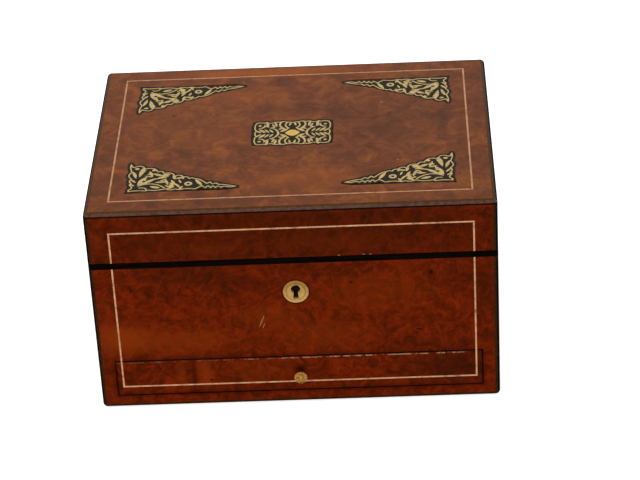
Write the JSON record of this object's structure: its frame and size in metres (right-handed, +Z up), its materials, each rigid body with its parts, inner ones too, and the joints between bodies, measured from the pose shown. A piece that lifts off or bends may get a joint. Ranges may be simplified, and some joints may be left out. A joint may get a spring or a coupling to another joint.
{
  "type": "wooden toiletry box",
  "caption": "Rectangular veneered wooden dressing box with a hinged hollow lid, brass tracery inlay on its top, a locked main compartment and a long drawer below.",
  "frame": {"origin": "middle of the underside, where the box stands", "axes": "+X to the right along the front, +Y to the back, +Z up"},
  "size_m": [0.3, 0.234, 0.17],
  "materials": {
    "veneer": "polished burr veneer",
    "dark_edging": "polished dark edging",
    "ebony": "polished ebony",
    "plain_wood": "plain, waxed",
    "boxwood": "polished stringing",
    "brass": "satin, aged",
    "gold_brass": "bright",
    "lock_steel": "dull"
  },
  "bodies": {
    "case": {"case_front": "veneer", "case_back": "veneer", "case_left": "veneer", "case_right": "veneer", "case_bottom": "plain_wood", "drawer_shelf": "plain_wood", "rim_front": "ebony", "rim_back": "ebony", "rim_left": "ebony", "rim_right": "ebony", "case_corner_front_left": "dark_edging", "case_corner_front_right": "dark_edging", "case_corner_back_left": "dark_edging", "case_corner_back_right": "dark_edging", "base_edge_front": "dark_edging", "base_edge_back": "dark_edging", "base_edge_left": "dark_edging", "base_edge_right": "dark_edging", "string_case_left": "boxwood", "string_case_right": "boxwood", "escutcheon": "brass", "lock": "lock_steel", "case_hinge_left": "brass", "case_hinge_right": "brass"},
    "lid": {"lid_top": "veneer", "lid_front": "veneer", "lid_back": "veneer", "lid_left": "veneer", "lid_right": "veneer", "lid_edge_front": "dark_edging", "lid_edge_back": "dark_edging", "lid_edge_left": "dark_edging", "lid_edge_right": "dark_edging", "lid_corner_front_left": "dark_edging", "lid_corner_front_right": "dark_edging", "lid_corner_back_left": "dark_edging", "lid_corner_back_right": "dark_edging", "string_lid_top": "boxwood", "string_lid_front": "boxwood", "inlay_ground_front_left": "ebony", "inlay_ground_front_right": "ebony", "inlay_ground_back_left": "ebony", "inlay_ground_back_right": "ebony", "inlay_ground_middle": "ebony", "inlay_brass_front_left": "brass", "inlay_brass_front_right": "brass", "inlay_brass_back_left": "brass", "inlay_brass_back_right": "brass", "inlay_brass_middle": "brass", "inlay_oval": "gold_brass", "lid_hinge_left": "brass", "lid_hinge_right": "brass"},
    "drawer": {"drawer_front": "veneer", "drawer_left": "plain_wood", "drawer_right": "plain_wood", "drawer_back": "plain_wood", "drawer_bottom": "plain_wood", "string_drawer": "boxwood", "drawer_knob": "brass"}
  },
  "joints": [
    {"name": "lid_hinge", "type": "hinge", "parent": "case", "child": "lid", "pos_m": [0, 0.1135, 0.12775], "axis": [-1, 0, 0], "range_deg": [0, 100]},
    {"name": "drawer_slide", "type": "slide", "parent": "case", "child": "drawer", "axis": [0, -1, 0], "range_m": [0, 0.15]}
  ]
}
